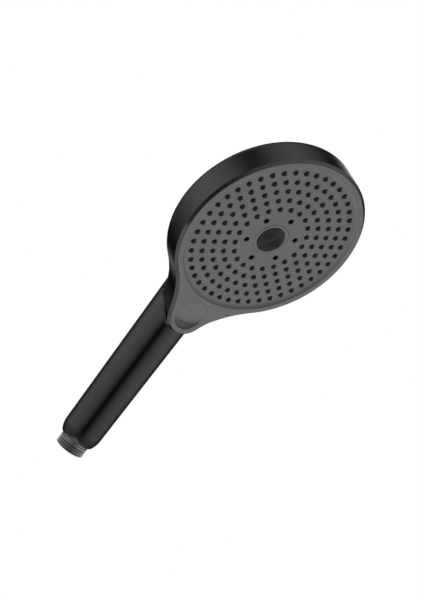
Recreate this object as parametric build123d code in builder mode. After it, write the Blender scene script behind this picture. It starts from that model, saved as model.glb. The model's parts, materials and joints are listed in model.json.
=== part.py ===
from build123d import *
import os
from math import atan2, cos, pi, radians, sin, sqrt, tan

# Handheld shower head: a 130 mm spray head on a tapered handle, thumb button at the neck.
# Frame: +Z runs up the handle axis, the origin is the end of the hose thread, and the
# spray face looks towards -Y and slightly down. All lengths are in millimetres.

os.makedirs("parts", exist_ok=True)

# ---------------------------------------------------------------- driving dimensions
TILT = 15.4                  # spray face against the handle axis, degrees
FACE_TO_AXIS = 35.73         # face centre to handle axis, square to the face
FOOT_Z = 206.3               # where that square line meets the handle axis

HEAD_R = 65.0                # head outline
TIP_R = 16.5                 # round end of the teardrop, over the handle
TIP_D = 74.3                 # its centre, from the face centre
NECK_R = 75.0                # concave flanks between the two
SIDE_DEPTH = 16.0            # straight side wall below the spray plane
DOME_DEPTH = 38.0            # highest point of the rounded back
RIM_H = 1.9                  # raised rim above the spray plane
BEVEL = 1.65                 # bright bevel round the casing's mouth
WALL = 2.6
BACK_ROUND = 5.0             # rounding between side wall and back
SEAM_ROUND = 2.0             # blend where the handle runs into the head
SMOOTH_ANGLE = 5             # edges flatter than this are no crease, degrees

LIP_INSET = 1.75             # casing mouth, measured in from the outline
PLATE_INSET = 1.9            # face plate edge, leaving a 0.15 gap
LEDGE_INSET = 3.4            # inner wall of the head
PLATE_T = 2.2                # face plate thickness at its rim
FIELD_T = 1.8                # face plate thickness in the nozzle field
FIELD_R = 56.6               # flat nozzle field
RIM_INNER_R = 59.8           # inner edge of the raised rim

RISE_D = 77.1                # where the plate starts to climb with the handle
RISE_ROUND = 50.0            # radius of that bend

HANDLE_R0 = 13.90            # handle radius at the origin's height
HANDLE_SLOPE = 0.0164        # growth of the radius per millimetre of height
SHELL_END_Z = 8.3            # lower end of the casing
SHELL_END_R = 12.0
END_ROUND_Z = 16.3           # the rounded lower end starts here
BEND_Z = 134.3               # handle bends towards the face above this height
BEND_R = 130.0
BEND_ANGLE = 28.0

RING_R = [25.12, 32.38, 39.65, 46.91, 54.17]     # nozzle rings
RING_N = [20, 26, 32, 38, 44]
NOZZLE_HOLE_R = 1.75
NOZZLE_TIP_R = 1.4
NOZZLE_BORE_R = 0.45
NOZZLE_STAND = 0.9           # tips stand above the spray plane
JET_RING_R = 17.6            # six massage jets
JET_N = 6
JET_R = 2.0
TRIM_R = 12.15               # centre ring
DISC_R = 8.8                 # centre insert

BUTTON_R = 11.3
BUTTON_GAP = 0.15
DISH_R = 11.05
DISH_ROUND = 3.0
DISH_TILT = 5.0              # floor of the thumb dish falls towards the handle
DISH_FLOOR = 0.95            # height of the dish floor at the button centre

THREAD_R = 10.4775           # G1/2 outside thread
THREAD_PITCH = 1.814
THREAD_DEPTH = 1.162
THREAD_TOP = 6.3             # thread runs out here
THREAD_TURNS = 3
THREAD_LEAD = 1.15           # middle of the first groove
THREAD_ROOT_FLAT = 0.13      # half width of a groove at its root

# ---------------------------------------------------------------- frame of the head
T = radians(TILT)
NORMAL = Vector(0, -cos(T), -sin(T))             # out of the spray face
DOWN = Vector(0, sin(T), -cos(T))                # in the face, towards the handle
FACE = Vector(0, 0, FOOT_Z) + NORMAL * FACE_TO_AXIS
FACE_AXIS = Axis(FACE, NORMAL)
SECTION = Plane(origin=FACE, x_dir=DOWN, z_dir=(-1, 0, 0))   # x = DOWN, y = NORMAL
BUTTON_AXIS = Axis(FACE + DOWN * TIP_D, NORMAL)


def level(n):
    """Plane parallel to the spray face, n above the nozzle field."""
    return Plane(origin=FACE + NORMAL * n, x_dir=DOWN, z_dir=NORMAL)


def handle_r(z):
    return HANDLE_R0 + HANDLE_SLOPE * z


# ---------------------------------------------------------------- shared profiles
def teardrop(plane, inset):
    """Outline of the head and its pointed neck on a plane, moved in by inset."""
    head = HEAD_R - inset
    tip = TIP_R - inset
    neck = NECK_R + inset
    far = HEAD_R + NECK_R
    near = TIP_R + NECK_R
    cx = (far**2 - near**2 + TIP_D**2) / (2 * TIP_D)
    cy = sqrt(far**2 - cx**2)
    on_head = (head * cx / far, head * cy / far)
    on_tip = (TIP_D + tip * (cx - TIP_D) / near, tip * cy / near)
    a0 = atan2(on_head[1] - cy, on_head[0] - cx)
    a1 = atan2(on_tip[1] - cy, on_tip[0] - cx)
    turn = (a1 - a0) % (2 * pi)
    mid = (cx + neck * cos(a0 + turn / 2), cy + neck * sin(a0 + turn / 2))
    with BuildSketch(plane) as outline:
        with BuildLine():
            ThreePointArc(on_head, (-head, 0), (on_head[0], -on_head[1]))
            ThreePointArc((on_head[0], -on_head[1]), (mid[0], -mid[1]), (on_tip[0], -on_tip[1]))
            ThreePointArc((on_tip[0], -on_tip[1]), (TIP_D + tip, 0), on_tip)
            ThreePointArc(on_tip, mid, on_head)
        make_face()
    return outline.sketch


def above_rim(shift):
    """Section of everything above the rim surface, which climbs with the handle past RISE_D."""
    low = RIM_H + shift
    reach = RISE_ROUND * tan(T / 2)
    far_d = 125.0
    start = (RISE_D - reach, low)
    middle = (RISE_D - reach + RISE_ROUND * sin(T / 2), low + RISE_ROUND * (1 - cos(T / 2)))
    end = (RISE_D + reach * cos(T), low + reach * sin(T))
    with BuildSketch(SECTION) as section:
        with BuildLine():
            Line((-80, low), start)
            ThreePointArc(start, middle, end)
            Polyline(end, (far_d, low + (far_d - RISE_D) * tan(T)), (far_d, 60), (-80, 60), (-80, low))
        make_face()
    return section.sketch


def dome_half(edge_r, start_n, rounding, depth):
    """Half section of the rounded back: a round edge that runs smoothly into one big sphere."""
    rise = depth + start_n
    flat_r = edge_r - rounding
    sphere_r = (rise**2 - rounding**2 + flat_r**2) / (2 * (rise - rounding))
    centre_n = sphere_r - depth
    scale = sphere_r / (sphere_r - rounding)
    touch = (flat_r * scale, centre_n + (start_n - centre_n) * scale)
    half_turn = atan2(start_n - touch[1], touch[0] - flat_r) / 2
    half_way = (flat_r + rounding * cos(half_turn), start_n - rounding * sin(half_turn))
    low_turn = atan2(touch[0], centre_n - touch[1]) / 2
    on_sphere = (sphere_r * sin(low_turn), centre_n - sphere_r * cos(low_turn))
    with BuildSketch(SECTION) as section:
        with BuildLine():
            Polyline((0, -depth), (0, start_n), (edge_r, start_n))
            ThreePointArc((edge_r, start_n), half_way, touch)
            ThreePointArc(touch, on_sphere, (0, -depth))
        make_face()
    return section.sketch


def tube_half(inset, bottom):
    """Half section of the straight, tapered run of the handle."""
    with BuildSketch(Plane.XZ) as section:
        with BuildLine():
            Polyline((0, bottom), (handle_r(bottom) - inset, bottom),
                     (handle_r(BEND_Z) - inset, BEND_Z), (0, BEND_Z), close=True)
        make_face()
    return section.sketch


def bend_disc(inset):
    with BuildSketch(Plane.XY.offset(BEND_Z)) as section:
        Circle(handle_r(BEND_Z) - inset)
    return section.sketch


BEND_AXIS = Axis((0, -BEND_R, BEND_Z), (1, 0, 0))


def nozzle_points():
    """Every nozzle centre: each ring has one on the line to the handle."""
    points = []
    for radius, count in zip(RING_R, RING_N):
        for k in range(count):
            angle = 2 * pi * k / count
            points.append((radius * cos(angle), radius * sin(angle)))
    return points


def seams(part, kinds, heights, depths):
    """Creased edges between two kinds of face, whose middle lies between two heights and depths."""
    found = []
    for edge in part.edges():
        middle = edge.position_at(0.5)
        depth = (middle - FACE).dot(NORMAL)
        sides = [f for f in part.faces() if any(edge.is_same(e) for e in f.edges())]
        inside = heights[0] < middle.Z < heights[1] and depths[0] < depth < depths[1]
        if not inside or len(sides) != 2:
            continue
        crease = sides[0].normal_at(middle).get_angle(sides[1].normal_at(middle))
        if crease > SMOOTH_ANGLE and {sides[0].geom_type, sides[1].geom_type} == kinds:
            found.append(edge)
    return found


# ---------------------------------------------------------------- internal layout
CAVITY_FLOOR = -13.4         # flat floor of the neck cavity
CAVITY_ROUND = 3.0
CONNECTOR_R = 10.9           # hose connector body inside the handle
CONNECTOR_TOP = 36.0

PLATE_HOLE_R = 12.3          # hole for the centre ring
SKIRT_R = 61.3               # skirt behind the face plate
SKIRT_END = -6.0

MAT_R = 57.6                 # silicone nozzle mat
MAT_TOP = -1.85
MAT_BASE = -3.1

SPRAY_TOP = -3.15            # spray plate, closes the front of the manifold
SPRAY_BASE = -5.7
SPRAY_R = 57.8
FEED_R = 1.1

MANIFOLD_TOP = -5.75
FLOOR_TOP = -13.0
FLOOR_BASE = -15.0
COLUMN_R = 2.6               # dry screw columns between two nozzle rings
COLUMN_RING = 36.0
MID_WALL = 21.4              # wall round the massage chamber
CENTRE_WALL = 11.9           # wall round the centre chamber
RING_T = 1.4

TURBINE_TOP = -7.2
TURBINE_BASE = -12.6

DUCT_TOP = -15.05            # three-way duct under the manifold
DUCT_BASE = -23.4
DUCT_AXIS_N = -20.2
DUCT_BORE = 2.1
DUCT_PITCH = 5.6
DUCT_START = 64.9
PORT_D = (47.0, 17.6, 0.0)   # ends of the rain, massage and centre channels

CART_R = 11.0                # selector cartridge under the button
CART_BASE = -23.4
CART_FLOOR = -17.8
CART_TOP = -7.05
CART_BORE = 9.4
CAP_TOP = -5.25
STEM_R = 2.9

TUBE_R = 4.5                 # water tube in the handle
TUBE_BORE = 3.3
TUBE_LOW = 28.0
TUBE_HIGH = 109.5
SPIGOT_LOW = 101.0
SPIGOT_R = 6.4

VALVE_R = 7.0                # bore of the hose connector

BUTTON_SKIRT = -3.4          # lower edge of the button
BUTTON_ROOF = -1.1           # underside of its dish
STEM_END = -11.2
NECK_RELIEF_R = 9.3          # plain neck between thread and casing
POPPET_STEM_R = 1.0

FIT = 0.05                   # gap between pieces that sit in each other
POST_R = 3.2                 # casing posts under the manifold, and their pilot holes
POST_LENGTH = 16.0
PILOT_R = 0.9
PILOT_DEPTH = 9.0
SKIRT_T = 1.5                # wall of the skirt behind the face plate
RING_INNER = 9.75            # centre ring, with a dark gap round the insert
RING_TOP = 0.25
RING_FOOT = -3.1
INSERT_TOP = -0.2            # centre insert: grooved flange on a hub
INSERT_FOOT = -5.6
INSERT_HUB_R = 6.2
GROOVE_START = 1.9
GROOVE_PITCH = 0.95
GROOVE_HALF = 0.22
GROOVE_DEPTH = 0.3
SCREW_HEAD_R = 1.9
SCREW_HEAD_H = 1.6
SCREW_SEAT = 2.9             # screw heads sit this deep in their columns
SCREW_R = 0.88
SCREW_LENGTH = 13.0
TURBINE_HUB_T = 1.3
TURBINE_RIM_T = 0.9
BLADE_COUNT = 12
BLADE_ANGLE = 28
PORT_RING_R = 5.0            # ports of the ceramic discs
PORT_R = 1.8
DISC_T = 2.4
SEAL_GROOVE_Z = 26.0         # outer groove of the hose connector
SEAL_GROOVE_W = 2.4
SEAL_GROOVE_DEPTH = 1.2
STRAINER_Z = 1.0
REGULATOR_Z = 2.7
REGULATOR_H = 3.2
CAGE_Z = 9.0                 # check valve cage
CAGE_H = 14.0
SPIDER_Z = 21.0
SEAT_R = 3.6
POPPET_Z = 10.8
POPPET_R = 4.8
POPPET_H = 1.4


# ---------------------------------------------------------------- casing
with BuildPart() as body_shell:
    # teardrop head: straight side wall, and a bevelled mouth that follows the climbing rim
    extrude(teardrop(level(-SIDE_DEPTH), 0), amount=SIDE_DEPTH + 14)
    extrude(above_rim(0), amount=80, both=True, mode=Mode.SUBTRACT)
    rim_faces = faces().filter_by(lambda f: f.normal_at().dot(NORMAL) > 0.9)
    rim_edges = rim_faces.edges()
    mouth = [e for e in rim_edges if sum(e.is_same(other) for other in rim_edges) == 1]
    chamfer(mouth, length=BEVEL)

    # rounded back, then the tapered handle, bent at its top to run out over the back
    revolve(dome_half(HEAD_R, -SIDE_DEPTH, BACK_ROUND, DOME_DEPTH), axis=FACE_AXIS)
    revolve(tube_half(0, END_ROUND_Z), axis=Axis.Z)
    revolve(bend_disc(0), axis=BEND_AXIS, revolution_arc=BEND_ANGLE)
    # soft blends along the creases between handle and head: on the back, at the neck's tip,
    # along the lower edge of the side wall, and where the handle's cone and bend leave the wall
    back_depths = (-DOME_DEPTH, -10)
    wall_depths = (-SIDE_DEPTH - 0.1, -SIDE_DEPTH + 0.1)
    creases = seams(body_shell.part, {GeomType.TORUS, GeomType.SPHERE}, (140, 190), back_depths)
    creases += seams(body_shell.part, {GeomType.CONE, GeomType.CYLINDER}, (110, 126), (-30, 30))
    creases += seams(body_shell.part, {GeomType.PLANE, GeomType.CYLINDER}, (130, 146), wall_depths)
    creases += seams(body_shell.part, {GeomType.PLANE, GeomType.CONE}, (120, 136), back_depths)
    creases += seams(body_shell.part, {GeomType.PLANE, GeomType.TORUS}, (130, 150), back_depths)
    creases += seams(body_shell.part, {GeomType.TORUS}, (130, 150), back_depths)
    fillet(creases, radius=SEAM_ROUND)
    # rounded lower end round the hose connector
    with BuildSketch(Plane.XZ):
        with BuildLine():
            top_r = handle_r(END_ROUND_Z)
            Polyline((SHELL_END_R, SHELL_END_Z), (0, SHELL_END_Z), (0, END_ROUND_Z), (top_r, END_ROUND_Z))
            TangentArc((top_r, END_ROUND_Z), (SHELL_END_R, SHELL_END_Z), tangent=(-HANDLE_SLOPE, -1))
        make_face()
    revolve(axis=Axis.Z)
    fillet(edges().group_by(Axis.Z)[0], radius=0.8)

    # mouth for the face plate, ledge, head cavity and handle bore
    extrude(teardrop(level(-PLATE_T + RIM_H), LIP_INSET), amount=14, mode=Mode.SUBTRACT)
    extrude(teardrop(level(CAVITY_FLOOR), LEDGE_INSET), amount=30, mode=Mode.SUBTRACT)
    inner_dome = dome_half(HEAD_R - LEDGE_INSET, CAVITY_FLOOR, CAVITY_ROUND, DOME_DEPTH - WALL)
    revolve(inner_dome, axis=FACE_AXIS, mode=Mode.SUBTRACT)
    revolve(tube_half(WALL, CONNECTOR_TOP), axis=Axis.Z, mode=Mode.SUBTRACT)
    revolve(bend_disc(WALL), axis=BEND_AXIS, revolution_arc=BEND_ANGLE, mode=Mode.SUBTRACT)
    with BuildSketch(Plane.XY):
        Circle(CONNECTOR_R + 0.05)
    extrude(amount=CONNECTOR_TOP + 1, mode=Mode.SUBTRACT)

    # three posts that carry the water module
    for angle in (60, 180, 300):
        spot = (COLUMN_RING * cos(radians(angle)), COLUMN_RING * sin(radians(angle)))
        with BuildSketch(level(FLOOR_BASE - 0.1)):
            with Locations(spot):
                Circle(POST_R)
        extrude(amount=-POST_LENGTH)
        with BuildSketch(level(FLOOR_BASE - 0.1)):
            with Locations(spot):
                Circle(PILOT_R)
        extrude(amount=-PILOT_DEPTH, mode=Mode.SUBTRACT)
body_shell.part.label = "body_shell"
body_shell.part.color = Color(0.22, 0.22, 0.23)
export_step(body_shell.part, "parts/body_shell.step")


# ---------------------------------------------------------------- spray face
with BuildPart() as face_plate:
    extrude(teardrop(level(RIM_H - PLATE_T), PLATE_INSET), amount=14)
    extrude(above_rim(0), amount=80, both=True, mode=Mode.SUBTRACT)
    with BuildSketch(level(-FIELD_T)):
        Circle(SKIRT_R - 0.9)
    extrude(amount=FIELD_T)
    with BuildSketch(level(SKIRT_END)):
        Circle(SKIRT_R - 0.9)
        Circle(SKIRT_R - 0.9 - SKIRT_T, mode=Mode.SUBTRACT)
    extrude(amount=-SKIRT_END - 0.4)
    # dished field: flat where the nozzles are, with a concave slope up to the rim
    with BuildSketch(SECTION):
        with BuildLine():
            Line((0, 0), (FIELD_R, 0))
            ThreePointArc((FIELD_R, 0), (FIELD_R + 2.1, 0.62), (RIM_INNER_R, RIM_H))
            Polyline((RIM_INNER_R, RIM_H), (RIM_INNER_R, 14), (0, 14), (0, 0))
        make_face()
    revolve(axis=FACE_AXIS, mode=Mode.SUBTRACT)
    # nozzle holes, jet holes, centre hole, button hole
    with BuildSketch(level(1)):
        with Locations(*nozzle_points()):
            Circle(NOZZLE_HOLE_R)
        with PolarLocations(JET_RING_R, JET_N):
            Circle(JET_R + 0.1)
        Circle(PLATE_HOLE_R)
    extrude(amount=-5, mode=Mode.SUBTRACT)
    with BuildSketch(level(14)):
        with Locations((TIP_D, 0)):
            Circle(BUTTON_R + BUTTON_GAP)
    extrude(amount=-20, mode=Mode.SUBTRACT)
face_plate.part.label = "face_plate"
face_plate.part.color = Color(0.42, 0.42, 0.43)
export_step(face_plate.part, "parts/face_plate.step")


with BuildPart() as nozzle_mat:
    with BuildSketch(level(MAT_BASE)):
        Circle(MAT_R)
        Circle(PLATE_HOLE_R + 0.7, mode=Mode.SUBTRACT)
        with PolarLocations(JET_RING_R, JET_N):
            Circle(JET_R + 0.4, mode=Mode.SUBTRACT)
    extrude(amount=MAT_TOP - MAT_BASE)
    with BuildSketch(level(MAT_TOP)):
        with Locations(*nozzle_points()):
            Circle(NOZZLE_TIP_R)
    extrude(amount=NOZZLE_STAND - MAT_TOP)
    with BuildSketch(level(2)):
        with Locations(*nozzle_points()):
            Circle(NOZZLE_BORE_R)
    extrude(amount=-6, mode=Mode.SUBTRACT)
nozzle_mat.part.label = "nozzle_mat"
nozzle_mat.part.color = Color(0.03, 0.03, 0.03)
export_step(nozzle_mat.part, "parts/nozzle_mat.step")


with BuildPart() as jet_inserts:
    for k in range(JET_N):
        angle = 2 * pi * k / JET_N
        spot = (JET_RING_R * cos(angle), JET_RING_R * sin(angle))
        with BuildSketch(level(SPRAY_BASE + 0.1)):
            with Locations(spot):
                Circle(JET_R)
                Circle(JET_R - 0.45, mode=Mode.SUBTRACT)
        extrude(amount=-SPRAY_BASE - 0.2)
        with BuildSketch(level(-3.4)):
            with Locations(spot):
                Circle(JET_R - 0.2)
                with PolarLocations(1.25, 3):
                    Circle(0.28, mode=Mode.SUBTRACT)
        extrude(amount=1.2)
        with Locations(level(-2.3).location * Location((spot[0], spot[1], 0))):
            Sphere(1.1, arc_size1=0)
jet_inserts.part.label = "jet_inserts"
jet_inserts.part.color = Color(0.1, 0.1, 0.1)
export_step(jet_inserts.part, "parts/jet_inserts.step")


with BuildPart() as centre_ring:
    with BuildSketch(SECTION):
        with BuildLine():
            Polyline((RING_INNER, RING_FOOT), (TRIM_R, RING_FOOT), (TRIM_R, 0.0),
                     (TRIM_R - RING_TOP, RING_TOP), (RING_INNER + 0.5, RING_TOP),
                     (RING_INNER, RING_TOP - 0.5), close=True)
        make_face()
    revolve(axis=FACE_AXIS)
centre_ring.part.label = "centre_ring"
centre_ring.part.color = Color(0.4, 0.4, 0.41)
export_step(centre_ring.part, "parts/centre_ring.step")


with BuildPart() as centre_insert:
    with BuildSketch(level(INSERT_FOOT)):
        Circle(INSERT_HUB_R)
    extrude(amount=4)
    with BuildSketch(level(-1.7)):
        Circle(DISC_R)
    extrude(amount=1.5)
    # fine concentric grooves round a small raised centre
    for groove in range(7):
        radius = GROOVE_START + GROOVE_PITCH * groove
        with BuildSketch(level(INSERT_TOP)):
            Circle(radius + GROOVE_HALF)
            Circle(radius - GROOVE_HALF, mode=Mode.SUBTRACT)
        extrude(amount=-GROOVE_DEPTH, mode=Mode.SUBTRACT)
    with BuildSketch(level(INSERT_TOP)):
        Circle(0.75)
    extrude(amount=0.35)
    with BuildSketch(level(1)):
        with PolarLocations(4.25, 12):
            Circle(0.3)
    extrude(amount=-8, mode=Mode.SUBTRACT)
centre_insert.part.label = "centre_insert"
centre_insert.part.color = Color(0.2, 0.2, 0.2)
export_step(centre_insert.part, "parts/centre_insert.step")


with BuildPart() as spray_plate:
    with BuildSketch(level(SPRAY_BASE)):
        Circle(SPRAY_R)
        Circle(INSERT_HUB_R + FIT, mode=Mode.SUBTRACT)
        with Locations(*nozzle_points()):
            Circle(FEED_R, mode=Mode.SUBTRACT)
        with PolarLocations(JET_RING_R, JET_N):
            Circle(JET_R + 0.02, mode=Mode.SUBTRACT)
    extrude(amount=SPRAY_TOP - SPRAY_BASE)
spray_plate.part.label = "spray_plate"
spray_plate.part.color = Color(0.5, 0.5, 0.5)
export_step(spray_plate.part, "parts/spray_plate.step")


# ---------------------------------------------------------------- water module
with BuildPart() as manifold:
    with BuildSketch(level(FLOOR_BASE)):
        Circle(SPRAY_R)
        with Locations((PORT_D[0], DUCT_PITCH), (PORT_D[1], -DUCT_PITCH), (PORT_D[2], 0)):
            Circle(DUCT_BORE, mode=Mode.SUBTRACT)
    extrude(amount=FLOOR_TOP - FLOOR_BASE)
    with BuildSketch(level(FLOOR_TOP)):
        Circle(SPRAY_R)
        Circle(SPRAY_R - 3.0, mode=Mode.SUBTRACT)
        Circle(MID_WALL + RING_T)
        Circle(MID_WALL, mode=Mode.SUBTRACT)
        Circle(CENTRE_WALL + RING_T)
        Circle(CENTRE_WALL, mode=Mode.SUBTRACT)
        with PolarLocations(COLUMN_RING, 3, start_angle=60):
            Circle(COLUMN_R)
    extrude(amount=MANIFOLD_TOP - FLOOR_TOP)
    with BuildSketch(level(MANIFOLD_TOP)):
        with PolarLocations(COLUMN_RING, 3, start_angle=60):
            Circle(2.0)
    extrude(amount=-3.0, mode=Mode.SUBTRACT)
    with BuildSketch(level(MANIFOLD_TOP)):
        with PolarLocations(COLUMN_RING, 3, start_angle=60):
            Circle(1.15)
    extrude(amount=-12, mode=Mode.SUBTRACT)
manifold.part.label = "manifold"
manifold.part.color = Color(0.6, 0.6, 0.62)
export_step(manifold.part, "parts/manifold.step")


with BuildPart() as module_screws:
    with BuildSketch(level(MANIFOLD_TOP - SCREW_SEAT)):
        with PolarLocations(COLUMN_RING, 3, start_angle=60):
            Circle(SCREW_HEAD_R)
    extrude(amount=SCREW_HEAD_H)
    with BuildSketch(level(MANIFOLD_TOP - SCREW_SEAT)):
        with PolarLocations(COLUMN_RING, 3, start_angle=60):
            Circle(SCREW_R)
    extrude(amount=-SCREW_LENGTH)
    with BuildSketch(level(MANIFOLD_TOP - SCREW_SEAT + SCREW_HEAD_H)):
        with PolarLocations(COLUMN_RING, 3, start_angle=60):
            RegularPolygon(0.8, 6)
    extrude(amount=-0.9, mode=Mode.SUBTRACT)
module_screws.part.label = "module_screws"
module_screws.part.color = Color(0.7, 0.7, 0.7)
export_step(module_screws.part, "parts/module_screws.step")


with BuildPart() as massage_turbine:
    # bladed ring that spins round the centre wall and covers half of the jets
    inner = CENTRE_WALL + RING_T
    with BuildSketch(level(TURBINE_BASE)):
        Circle(inner + TURBINE_HUB_T)
        Circle(inner + 0.08, mode=Mode.SUBTRACT)
        with PolarLocations((inner + MID_WALL) / 2 + 0.3, BLADE_COUNT):
            Rectangle(MID_WALL - inner - 1.7, 0.8, rotation=BLADE_ANGLE)
    extrude(amount=TURBINE_TOP - TURBINE_BASE - TURBINE_RIM_T)
    with BuildSketch(level(TURBINE_BASE)):
        Circle(MID_WALL - 0.5)
        Circle(inner + 0.08, mode=Mode.SUBTRACT)
    extrude(amount=0.7)
    with BuildSketch(level(TURBINE_TOP - TURBINE_RIM_T)):
        Circle(MID_WALL - 0.5)
        Circle(inner + 0.08, mode=Mode.SUBTRACT)
        with Locations((0, -MID_WALL)):
            Rectangle(2 * MID_WALL, 2 * MID_WALL - 2 * inner + 13, mode=Mode.SUBTRACT)
        Circle(inner + TURBINE_HUB_T)
        Circle(inner + 0.08, mode=Mode.SUBTRACT)
    extrude(amount=TURBINE_RIM_T)
massage_turbine.part.label = "massage_turbine"
massage_turbine.part.color = Color(0.85, 0.85, 0.8)
export_step(massage_turbine.part, "parts/massage_turbine.step")


with BuildPart() as port_duct:
    height = DUCT_TOP - DUCT_BASE
    with BuildSketch(level(DUCT_BASE)):
        with Locations(((PORT_D[0] - 4 + DUCT_START) / 2, 0)):
            Rectangle(DUCT_START - PORT_D[0] + 4, 17)
        with Locations(((PORT_D[1] - 4 + DUCT_START) / 2, -DUCT_PITCH / 2)):
            Rectangle(DUCT_START - PORT_D[1] + 4, 11.4)
        with Locations(((PORT_D[2] - 4 + DUCT_START) / 2, 0)):
            Rectangle(DUCT_START - PORT_D[2] + 4, 6.6)
    extrude(amount=height)
    for reach, side in zip(PORT_D, (DUCT_PITCH, -DUCT_PITCH, 0)):
        start = Plane(origin=FACE + DOWN * DUCT_START + NORMAL * DUCT_AXIS_N, x_dir=NORMAL, z_dir=-DOWN)
        with BuildSketch(start):
            with Locations((0, -side)):
                Circle(DUCT_BORE)
        extrude(amount=DUCT_START - reach + 1, mode=Mode.SUBTRACT)
        with BuildSketch(level(DUCT_TOP)):
            with Locations((reach, side)):
                Circle(DUCT_BORE)
        extrude(amount=DUCT_AXIS_N - DUCT_TOP, mode=Mode.SUBTRACT)
port_duct.part.label = "port_duct"
port_duct.part.color = Color(0.55, 0.55, 0.57)
export_step(port_duct.part, "parts/port_duct.step")


# ---------------------------------------------------------------- selector cartridge
def on_button(n):
    """Plane across the button axis, n above the nozzle field."""
    return Plane(origin=FACE + DOWN * TIP_D + NORMAL * n, x_dir=DOWN, z_dir=NORMAL)


with BuildPart() as cartridge:
    with BuildSketch(on_button(CART_BASE)):
        Circle(CART_R)
    extrude(amount=CART_TOP - CART_BASE)
    chamfer(faces().sort_by(FACE_AXIS)[0].edges(), length=1.6)
    # spigot that takes the water tube, along the handle axis
    with BuildSketch(Plane.XY.offset(SPIGOT_LOW)):
        Circle(SPIGOT_R)
    extrude(amount=22)
    with BuildSketch(on_button(CART_TOP)):
        Circle(CART_R + 0.4)
    extrude(amount=6, mode=Mode.SUBTRACT)
    # flat towards the duct
    with BuildSketch(on_button(CART_BASE)):
        with Locations((DUCT_START + 0.05 - TIP_D - 3, 0)):
            Rectangle(6, 30)
    extrude(amount=30, mode=Mode.SUBTRACT)
    with BuildSketch(on_button(CART_FLOOR)):
        Circle(CART_BORE - 0.6)
    extrude(amount=20, mode=Mode.SUBTRACT)
    with BuildSketch(Plane.XY.offset(SPIGOT_LOW)):
        Circle(TUBE_R + 0.05)
    extrude(amount=9, mode=Mode.SUBTRACT)
    with BuildSketch(Plane.XY.offset(SPIGOT_LOW)):
        Circle(TUBE_BORE)
    extrude(amount=18, mode=Mode.SUBTRACT)
    # three outlets through the floor
    for side in (DUCT_PITCH, -DUCT_PITCH, 0):
        with BuildSketch(Plane(origin=FACE + DOWN * 60 + NORMAL * DUCT_AXIS_N, x_dir=NORMAL, z_dir=DOWN)):
            with Locations((0, side)):
                Circle(DUCT_BORE)
        extrude(amount=TIP_D - 60, mode=Mode.SUBTRACT)
cartridge.part.label = "cartridge"
cartridge.part.color = Color(0.3, 0.3, 0.32)
export_step(cartridge.part, "parts/cartridge.step")


with BuildPart() as cartridge_cap:
    with BuildSketch(on_button(CART_TOP + 0.05)):
        Circle(CART_R)
        Circle(STEM_R + 0.35, mode=Mode.SUBTRACT)
    extrude(amount=CAP_TOP - CART_TOP - 0.05)
    with BuildSketch(on_button(CART_TOP + 0.05)):
        Circle(STEM_R + 1.4)
    extrude(amount=1.4, mode=Mode.SUBTRACT)
    with BuildSketch(on_button(0)):
        with Locations((DUCT_START + 0.05 - TIP_D - 3, 0)):
            Rectangle(6, 30)
    extrude(amount=-10, mode=Mode.SUBTRACT)
cartridge_cap.part.label = "cartridge_cap"
cartridge_cap.part.color = Color(0.35, 0.35, 0.37)
export_step(cartridge_cap.part, "parts/cartridge_cap.step")


with BuildPart() as port_disc:
    # fixed ceramic disc with three ports
    with BuildSketch(on_button(CART_FLOOR + 0.05)):
        Circle(CART_BORE - 0.7)
        with PolarLocations(PORT_RING_R, 3):
            Circle(PORT_R, mode=Mode.SUBTRACT)
    extrude(amount=DISC_T)
port_disc.part.label = "port_disc"
port_disc.part.color = Color(0.9, 0.9, 0.88)
export_step(port_disc.part, "parts/port_disc.step")


with BuildPart() as selector_rotor:
    # turning ceramic disc with one port, and the ratchet wheel on top of it
    with BuildSketch(on_button(CART_FLOOR + 2.5)):
        Circle(CART_BORE - 0.95)
        with Locations((PORT_RING_R, 0)):
            Circle(PORT_R, mode=Mode.SUBTRACT)
    extrude(amount=2.2)
    with BuildSketch(on_button(CART_FLOOR + 4.7)):
        Circle(5.8)
        with PolarLocations(5.6, 6):
            Rectangle(2.6, 1.5)
        Circle(STEM_R + 0.3, mode=Mode.SUBTRACT)
    extrude(amount=3.6)
selector_rotor.part.label = "selector_rotor"
selector_rotor.part.color = Color(0.8, 0.8, 0.78)
export_step(selector_rotor.part, "parts/selector_rotor.step")


with BuildPart() as stem_seal:
    seal_wire = 0.65
    seal_centre = on_button(CART_TOP + 0.75).origin + DOWN * (STEM_R + 0.05 + seal_wire)
    with BuildSketch(Plane(origin=seal_centre, x_dir=DOWN, z_dir=(1, 0, 0))):
        Circle(seal_wire)
    revolve(axis=BUTTON_AXIS)
stem_seal.part.label = "stem_seal"
stem_seal.part.color = Color(0.05, 0.05, 0.05)
export_step(stem_seal.part, "parts/stem_seal.step")


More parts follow.
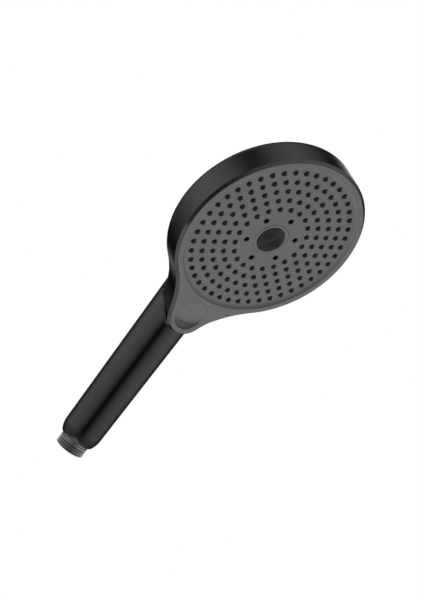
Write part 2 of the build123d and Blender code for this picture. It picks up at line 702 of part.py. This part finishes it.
# ---------------------------------------------------------------- thumb button
with BuildPart() as mode_button:
    with BuildSketch(on_button(BUTTON_SKIRT)):
        Circle(BUTTON_R)
    extrude(amount=14)
    extrude(above_rim(0), amount=80, both=True, mode=Mode.SUBTRACT)
    # thumb dish: a shallow tilted bowl, flush with the face at the head and deep at the handle
    tilt = radians(DISH_TILT)
    bowl_normal = NORMAL * cos(tilt) + DOWN * sin(tilt)
    bowl_x = DOWN * cos(tilt) - NORMAL * sin(tilt)
    bowl = Plane(origin=FACE + DOWN * TIP_D + NORMAL * DISH_FLOOR, x_dir=bowl_x, z_dir=bowl_normal)
    with BuildSketch(Plane(origin=bowl.origin, x_dir=bowl_x, z_dir=(-1, 0, 0))):
        with BuildLine():
            Line((0, 0), (DISH_R - DISH_ROUND, 0.0))
            CenterArc((DISH_R - DISH_ROUND, DISH_ROUND), DISH_ROUND, -90, 90)
            Polyline((DISH_R, DISH_ROUND), (DISH_R, 12), (0, 12), (0, 0))
        make_face()
    revolve(axis=Axis(bowl.origin, bowl_normal), mode=Mode.SUBTRACT)
    # hollow underside for the spring, and the stem that works the ratchet
    with BuildSketch(on_button(BUTTON_SKIRT)):
        Circle(BUTTON_R - 1.3)
    extrude(amount=BUTTON_ROOF - BUTTON_SKIRT, mode=Mode.SUBTRACT)
    with BuildSketch(on_button(STEM_END)):
        Circle(STEM_R)
    extrude(amount=BUTTON_ROOF - STEM_END)
mode_button.part.label = "mode_button"
mode_button.part.color = Color(0.42, 0.42, 0.43)
export_step(mode_button.part, "parts/mode_button.step")


def coil(base, radius, wire, height, turns):
    """Compression spring that starts at a plane and winds up along its normal."""
    rise = height - 2 * wire
    axis_origin = base.origin + base.z_dir * wire
    path = Helix(pitch=rise / turns, height=rise, radius=radius,
                 center=axis_origin, direction=base.z_dir)
    with BuildPart() as spring:
        with BuildSketch(Plane(origin=path @ 0, z_dir=path % 0)):
            Circle(wire)
        sweep(path=path, is_frenet=True)
    return spring.part


with BuildPart() as button_spring:
    add(coil(on_button(CAP_TOP + 0.02), 7.2, 0.35, BUTTON_ROOF - CAP_TOP - 0.04, 3))
button_spring.part.label = "button_spring"
button_spring.part.color = Color(0.75, 0.75, 0.76)
export_step(button_spring.part, "parts/button_spring.step")


# ---------------------------------------------------------------- waterway in the handle
with BuildPart() as water_tube:
    with BuildSketch(Plane.XY.offset(TUBE_LOW)):
        Circle(TUBE_R)
        Circle(TUBE_BORE - 0.1, mode=Mode.SUBTRACT)
    extrude(amount=TUBE_HIGH - TUBE_LOW)
    for z in (TUBE_LOW + 3.2, TUBE_HIGH - 5.0):
        with BuildSketch(Plane.XY.offset(z)):
            Circle(TUBE_R)
            Circle(TUBE_R - 0.6, mode=Mode.SUBTRACT)
        extrude(amount=1.6, mode=Mode.SUBTRACT)
water_tube.part.label = "water_tube"
water_tube.part.color = Color(0.7, 0.7, 0.68)
export_step(water_tube.part, "parts/water_tube.step")


def seal_ring(z, inner, wire):
    """O-ring round the handle axis at height z, squeezed to an oval."""
    with BuildPart() as ring:
        with BuildSketch(Plane.XZ):
            with Locations((inner + wire, z)):
                Ellipse(wire, wire * 1.15)
        revolve(axis=Axis.Z)
    return ring.part


with BuildPart() as tube_seal_low:
    add(seal_ring(TUBE_LOW + 4.0, TUBE_R - 0.58, 0.3))
tube_seal_low.part.label = "tube_seal_low"
tube_seal_low.part.color = Color(0.05, 0.05, 0.05)
export_step(tube_seal_low.part, "parts/tube_seal_low.step")
with BuildPart() as tube_seal_top:
    add(seal_ring(TUBE_HIGH - 4.2, TUBE_R - 0.58, 0.3))
tube_seal_top.part.label = "tube_seal_top"
tube_seal_top.part.color = Color(0.05, 0.05, 0.05)
export_step(tube_seal_top.part, "parts/tube_seal_top.step")


with BuildPart() as hose_connector:
    with BuildSketch(Plane.XY):
        Circle(THREAD_R)
    extrude(amount=THREAD_TOP)
    with BuildSketch(Plane.XY.offset(THREAD_TOP)):
        Circle(NECK_RELIEF_R)
    extrude(amount=SHELL_END_Z - THREAD_TOP)
    with BuildSketch(Plane.XY.offset(SHELL_END_Z)):
        Circle(CONNECTOR_R)
    extrude(amount=CONNECTOR_TOP - SHELL_END_Z)
    # groove for the outer seal
    with BuildSketch(Plane.XY.offset(SEAL_GROOVE_Z)):
        Circle(CONNECTOR_R)
        Circle(CONNECTOR_R - SEAL_GROOVE_DEPTH, mode=Mode.SUBTRACT)
    extrude(amount=SEAL_GROOVE_W, mode=Mode.SUBTRACT)
    # stepped water bore, and the socket for the water tube
    with BuildSketch(Plane.XY):
        Circle(VALVE_R)
    extrude(amount=26, mode=Mode.SUBTRACT)
    with BuildSketch(Plane.XY.offset(TUBE_LOW - 0.05)):
        Circle(TUBE_R + 0.05)
    extrude(amount=20, mode=Mode.SUBTRACT)
    with BuildSketch(Plane.XY.offset(20)):
        Circle(TUBE_BORE)
    extrude(amount=20, mode=Mode.SUBTRACT)
    # thread: V grooves at the thread's pitch, cut into the full-diameter cylinder
    groove_half = THREAD_PITCH * 0.43
    root_r = THREAD_R - THREAD_DEPTH
    with BuildSketch(Plane.XZ):
        for turn in range(THREAD_TURNS):
            middle = THREAD_LEAD + THREAD_PITCH * turn
            with BuildLine():
                Polyline((THREAD_R, middle - groove_half), (THREAD_R + 1, middle - groove_half),
                         (THREAD_R + 1, middle + groove_half), (THREAD_R, middle + groove_half),
                         (root_r, middle + THREAD_ROOT_FLAT), (root_r, middle - THREAD_ROOT_FLAT),
                         close=True)
            make_face()
    revolve(axis=Axis.Z, mode=Mode.SUBTRACT)
hose_connector.part.label = "hose_connector"
hose_connector.part.color = Color(0.6, 0.6, 0.6)
export_step(hose_connector.part, "parts/hose_connector.step")


with BuildPart() as connector_seal:
    add(seal_ring(SEAL_GROOVE_Z + SEAL_GROOVE_W / 2, CONNECTOR_R - 1.15, 0.58))
connector_seal.part.label = "connector_seal"
connector_seal.part.color = Color(0.05, 0.05, 0.05)
export_step(connector_seal.part, "parts/connector_seal.step")


with BuildPart() as inlet_strainer:
    with BuildSketch(Plane.XY.offset(STRAINER_Z)):
        Circle(VALVE_R - 0.05)
        with GridLocations(1.3, 1.3, 9, 9):
            Rectangle(0.8, 0.8, mode=Mode.SUBTRACT)
    extrude(amount=0.5)
    with BuildSketch(Plane.XY.offset(STRAINER_Z)):
        Circle(VALVE_R - 0.05)
        Circle(VALVE_R - 1.0, mode=Mode.SUBTRACT)
    extrude(amount=1.6)
inlet_strainer.part.label = "inlet_strainer"
inlet_strainer.part.color = Color(0.6, 0.6, 0.6)
export_step(inlet_strainer.part, "parts/inlet_strainer.step")


with BuildPart() as flow_regulator:
    with BuildSketch(Plane.XY.offset(REGULATOR_Z)):
        Circle(VALVE_R - 0.1)
        with PolarLocations(4.4, 8):
            Circle(0.9, mode=Mode.SUBTRACT)
    extrude(amount=REGULATOR_H)
    with BuildSketch(Plane.XY.offset(REGULATOR_Z + REGULATOR_H)):
        Circle(2.2)
    extrude(amount=1.6)
flow_regulator.part.label = "flow_regulator"
flow_regulator.part.color = Color(0.3, 0.5, 0.4)
export_step(flow_regulator.part, "parts/flow_regulator.step")


with BuildPart() as flow_ring:
    add(seal_ring(6.8, 2.25, 0.7))
flow_ring.part.label = "flow_ring"
flow_ring.part.color = Color(0.05, 0.05, 0.05)
export_step(flow_ring.part, "parts/flow_ring.step")


with BuildPart() as check_valve:
    # valve cage with its seat at the inlet side and a spider that guides the poppet
    with BuildSketch(Plane.XY.offset(CAGE_Z)):
        Circle(VALVE_R - 0.05)
        Circle(VALVE_R - 1.1, mode=Mode.SUBTRACT)
    extrude(amount=CAGE_H)
    with BuildSketch(Plane.XY.offset(CAGE_Z)):
        Circle(VALVE_R - 1.0)
        Circle(SEAT_R, mode=Mode.SUBTRACT)
    extrude(amount=1.5)
    with BuildSketch(Plane.XY.offset(SPIDER_Z)):
        Circle(2.4)
        Rectangle(2 * VALVE_R - 2, 1.2)
        Rectangle(1.2, 2 * VALVE_R - 2)
        Circle(POPPET_STEM_R + 0.1, mode=Mode.SUBTRACT)
    extrude(amount=2.0)
check_valve.part.label = "check_valve"
check_valve.part.color = Color(0.85, 0.85, 0.82)
export_step(check_valve.part, "parts/check_valve.step")


with BuildPart() as check_poppet:
    with BuildSketch(Plane.XY.offset(POPPET_Z)):
        Circle(POPPET_R)
    extrude(amount=POPPET_H)
    with BuildSketch(Plane.XY.offset(POPPET_Z)):
        Circle(POPPET_STEM_R)
    extrude(amount=10.8)
check_poppet.part.label = "check_poppet"
check_poppet.part.color = Color(0.8, 0.3, 0.2)
export_step(check_poppet.part, "parts/check_poppet.step")

with BuildPart() as check_spring:
    add(coil(Plane.XY.offset(POPPET_Z + POPPET_H + 0.02), 3.2, 0.3, SPIDER_Z - POPPET_Z - POPPET_H - 0.06, 4))
check_spring.part.label = "check_spring"
check_spring.part.color = Color(0.75, 0.75, 0.76)
export_step(check_spring.part, "parts/check_spring.step")
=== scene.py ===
import json
import math

import bpy
from mathutils import Matrix, Vector

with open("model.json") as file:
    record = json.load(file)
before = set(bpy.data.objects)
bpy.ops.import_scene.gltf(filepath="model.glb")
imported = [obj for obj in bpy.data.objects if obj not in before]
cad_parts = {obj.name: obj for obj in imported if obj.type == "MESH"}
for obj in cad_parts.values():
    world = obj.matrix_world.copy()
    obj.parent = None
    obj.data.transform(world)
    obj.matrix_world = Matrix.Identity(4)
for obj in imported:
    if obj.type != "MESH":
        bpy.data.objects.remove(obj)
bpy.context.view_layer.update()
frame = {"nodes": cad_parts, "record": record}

# ---------------------------------------------------------------- named sizes, metres
TILT = math.radians(15.4)                    # spray face against the handle axis
NORMAL = Vector((0.0, -math.cos(TILT), -math.sin(TILT)))
FOOT_Z = 0.2063                              # foot of the face centre on the handle axis
FACE_TO_AXIS = 0.03573
FACE = Vector((0.0, 0.0, FOOT_Z)) + NORMAL * FACE_TO_AXIS

# camera: where it stands, where it looks and which way is up; lens and sensor in millimetres
CAMERA_AT = Vector((-0.60676, -0.66389, 0.25476))
CAMERA_AHEAD = Vector((0.68264, 0.71960, -0.12718))
CAMERA_UP = Vector((-0.36734, 0.48838, 0.79155))
LENS = 81.72
SENSOR = 36.0
CLIP_START = 0.01

STUDIO_LEVEL = 1.0
# each dark patch of the studio: azimuth and elevation of its middle, then pairs of cosine and tone towards it
FLAGS = [
    ((-146, -14), [(0.40, 0.87), (0.67, 0.76), (0.88, 0.52), (0.97, 0.22), (1.0, 0.02)]),
    ((-42, 41), [(0.80, 0.98), (0.92, 0.75), (0.97, 0.5), (1.0, 0.15)]),
    ((0, -90), [(0.20, 0.95), (0.45, 0.55), (1.0, 0.3)]),
]
KEY_FROM = Vector((0.15, -0.75, -1.3))       # from the face to the soft box
KEY_SIZE = 0.5
KEY_WATTS = 24.0
FLOOR_Z = -3.0
FLOOR_SIZE = 4.0
FLOOR_GLOW = 0.35

# surface texture, as noise scales per metre
TONE_DRIFT = 90
GLOSS_DRIFT = 260
PLATING_DRIFT = 60
BRUSH_GLOSS = 900
BRUSH_GRAIN = 2600
BRUSH_DEPTH = 4e-7
FLOOR_DRIFT = 0.5


# ---------------------------------------------------------------- node helpers
class Mat:
    """A procedural material: small helpers that keep each recipe readable."""

    def __init__(self, name):
        self.mat = bpy.data.materials.new(name)
        self.mat.use_nodes = True
        self.tree = self.mat.node_tree
        self.shader = self.tree.nodes["Principled BSDF"]
        self.coords = self.tree.nodes.new("ShaderNodeTexCoord").outputs["Object"]

    def noise(self, scale, detail=3.0, rough=0.5, stretch=(1, 1, 1)):
        mapping = self.tree.nodes.new("ShaderNodeMapping")
        mapping.inputs["Scale"].default_value = stretch
        self.tree.links.new(self.coords, mapping.inputs["Vector"])
        noise = self.tree.nodes.new("ShaderNodeTexNoise")
        noise.inputs["Scale"].default_value = scale
        noise.inputs["Detail"].default_value = detail
        noise.inputs["Roughness"].default_value = rough
        self.tree.links.new(mapping.outputs["Vector"], noise.inputs["Vector"])
        return noise.outputs["Fac"]

    def ramp(self, value, low, high, start=0.3, end=0.7):
        """Spread a value between two greys or colours."""
        node = self.tree.nodes.new("ShaderNodeValToRGB")
        node.color_ramp.elements[0].position = start
        node.color_ramp.elements[1].position = end
        node.color_ramp.elements[0].color = (*low, 1)
        node.color_ramp.elements[1].color = (*high, 1)
        self.tree.links.new(value, node.inputs["Fac"])
        return node.outputs["Color"]

    def span(self, value, low, high):
        """Spread a value between two numbers."""
        node = self.tree.nodes.new("ShaderNodeMapRange")
        node.inputs["To Min"].default_value = low
        node.inputs["To Max"].default_value = high
        self.tree.links.new(value, node.inputs["Value"])
        return node.outputs["Result"]

    def bump(self, value, distance, strength=1.0):
        node = self.tree.nodes.new("ShaderNodeBump")
        node.inputs["Distance"].default_value = distance
        node.inputs["Strength"].default_value = strength
        self.tree.links.new(value, node.inputs["Height"])
        self.tree.links.new(node.outputs["Normal"], self.shader.inputs["Normal"])

    def put(self, name, source):
        """Set a shader input to a constant, or link it to a socket."""
        if isinstance(source, (int, float, tuple)):
            self.shader.inputs[name].default_value = source
        else:
            self.tree.links.new(source, self.shader.inputs[name])


def grey(level):
    """A grey with a trace of blue."""
    return (level, level, level * 1.01)


def moulded(name, dark, light, rough=(0.38, 0.5), grain=9000, depth=4e-6, shine=0.5):
    """Moulded or plated plastic: faint tone drift, uneven gloss and a fine grain."""
    m = Mat(name)
    m.put("Base Color", m.ramp(m.noise(TONE_DRIFT, 4), dark, light))
    m.put("Roughness", m.span(m.noise(GLOSS_DRIFT, 3), rough[0], rough[1]))
    m.put("Specular IOR Level", shine)
    m.bump(m.noise(grain, 2), depth)
    return m.mat


def brushed(name, dark, light, rough=(0.26, 0.36), edge=0.9):
    """Satin plated metal with a very fine brushing round the part."""
    m = Mat(name)
    m.put("Base Color", m.ramp(m.noise(PLATING_DRIFT, 3), dark, light))
    m.put("Metallic", 1.0)
    m.put("Specular Tint", (edge, edge, edge, 1))
    m.put("Roughness", m.span(m.noise(BRUSH_GLOSS, 4, 0.6, (1, 1, 9)), rough[0], rough[1]))
    m.bump(m.noise(BRUSH_GRAIN, 2, 0.5, (1, 1, 7)), BRUSH_DEPTH, 0.3)
    return m.mat


MATERIALS = {
    "casing": brushed("satin_black_chrome", grey(0.063), grey(0.070), rough=(0.14, 0.18), edge=0.3),
    "face": moulded("matte_graphite", grey(0.076), grey(0.084), rough=(0.42, 0.52)),
    "silicone": moulded("black_silicone", grey(0.003), grey(0.006),
                        rough=(0.5, 0.65), grain=5000, shine=0.25),
    "trim": moulded("dark_trim", grey(0.008), grey(0.012), shine=0.35, rough=(0.3, 0.4)),
    "module": moulded("natural_plastic", grey(0.42), grey(0.5), rough=(0.45, 0.6)),
    "valve": moulded("pale_plastic", (0.66, 0.64, 0.58), (0.74, 0.72, 0.66), rough=(0.35, 0.5)),
    "connector": brushed("satin_grey_nipple", grey(0.26), grey(0.31), rough=(0.3, 0.42)),
    "steel": brushed("stainless", grey(0.5), grey(0.6), rough=(0.2, 0.32)),
    "seal": moulded("seal_rubber", grey(0.01), grey(0.016), rough=(0.55, 0.7), grain=4000),
}

SLOTS = {part["node"]: part["material_slot"] for part in frame["record"]["subparts"]}
for node, piece in frame["nodes"].items():
    piece.data.materials.clear()
    piece.data.materials.append(MATERIALS[SLOTS[node]])


# ---------------------------------------------------------------- floor, light, camera
def studio_floor():
    """Plain white floor far below, which has no edge in the main view."""
    bpy.ops.mesh.primitive_plane_add(size=FLOOR_SIZE, location=(0, 0, FLOOR_Z))
    floor = bpy.context.object
    floor.name = "studio_floor"
    m = Mat("studio_white")
    m.put("Base Color", m.ramp(m.noise(FLOOR_DRIFT, 1), grey(0.94), grey(0.96)))
    m.put("Roughness", 0.9)
    m.put("Emission Color", (1, 1, 1, 1))
    m.put("Emission Strength", FLOOR_GLOW)
    floor.data.materials.append(m.mat)


def toward(azimuth, elevation):
    """Direction in degrees: azimuth from +Y towards +X, elevation up from the floor."""
    a, e = math.radians(azimuth), math.radians(elevation)
    return Vector((math.sin(a) * math.cos(e), math.cos(a) * math.cos(e), math.sin(e)))


def dark_flag(tree, ray, direction, stops):
    """Tone of a soft black flag in the studio, from the cosine of the angle away from its middle."""
    dot = tree.nodes.new("ShaderNodeVectorMath")
    dot.operation = "DOT_PRODUCT"
    dot.inputs[1].default_value = direction
    tree.links.new(ray, dot.inputs[0])
    ramp = tree.nodes.new("ShaderNodeValToRGB")
    ramp.color_ramp.elements[0].color = (1, 1, 1, 1)
    for cosine, tone in stops[:-1]:
        ramp.color_ramp.elements.new(cosine).color = (tone, tone, tone, 1)
    last = stops[-1][1]
    ramp.color_ramp.elements[-1].color = (last, last, last, 1)
    tree.links.new(dot.outputs["Value"], ramp.inputs["Fac"])
    return ramp.outputs["Color"]


def key_light():
    """Soft box below the face: it shades the dish, and the satin metal doesn't reflect it."""
    data = bpy.data.lights.new("key", "AREA")
    data.shape = "DISK"
    data.size = KEY_SIZE
    data.energy = KEY_WATTS
    lamp = bpy.data.objects.new("key", data)
    lamp.location = FACE + KEY_FROM
    lamp.visible_glossy = False
    lamp.rotation_mode = "QUATERNION"
    lamp.rotation_quaternion = (-KEY_FROM).to_track_quat("-Z", "Y")
    bpy.context.collection.objects.link(lamp)


def studio_light():
    """Even white light from all round, weaker from below, with soft dark flags for the satin metal."""
    world = bpy.data.worlds.new("studio")
    bpy.context.scene.world = world
    world.use_nodes = True
    tree = world.node_tree
    ray = tree.nodes.new("ShaderNodeTexCoord").outputs["Generated"]
    light = tree.nodes["Background"]
    tone = None
    for at, stops in FLAGS:
        flag = dark_flag(tree, ray, toward(*at), stops)
        if tone:
            both = tree.nodes.new("ShaderNodeVectorMath")
            both.operation = "MULTIPLY"
            tree.links.new(tone, both.inputs[0])
            tree.links.new(flag, both.inputs[1])
            flag = both.outputs["Vector"]
        tone = flag
    tree.links.new(tone, light.inputs["Color"])
    light.inputs["Strength"].default_value = STUDIO_LEVEL
    white = tree.nodes.new("ShaderNodeBackground")
    white.inputs["Color"].default_value = (1, 1, 1, 1)
    seen = tree.nodes.new("ShaderNodeLightPath").outputs["Is Camera Ray"]
    mix = tree.nodes.new("ShaderNodeMixShader")
    tree.links.new(seen, mix.inputs["Fac"])
    tree.links.new(light.outputs["Background"], mix.inputs[1])
    tree.links.new(white.outputs["Background"], mix.inputs[2])
    tree.links.new(mix.outputs["Shader"], tree.nodes["World Output"].inputs["Surface"])


def camera():
    """Long lens, turned about its axis so that the handle runs down to the left."""
    data = bpy.data.cameras.new("camera")
    data.sensor_width = SENSOR
    data.lens = LENS
    data.clip_start = CLIP_START
    obj = bpy.data.objects.new("camera", data)
    bpy.context.collection.objects.link(obj)
    back = -CAMERA_AHEAD.normalized()
    right = CAMERA_UP.cross(back).normalized()
    up = back.cross(right)
    obj.matrix_world = Matrix.Translation(CAMERA_AT) @ Matrix((right, up, back)).transposed().to_4x4()
    bpy.context.scene.camera = obj


studio_floor()
studio_light()
key_light()
camera()
bpy.context.scene.view_settings.view_transform = "Standard"
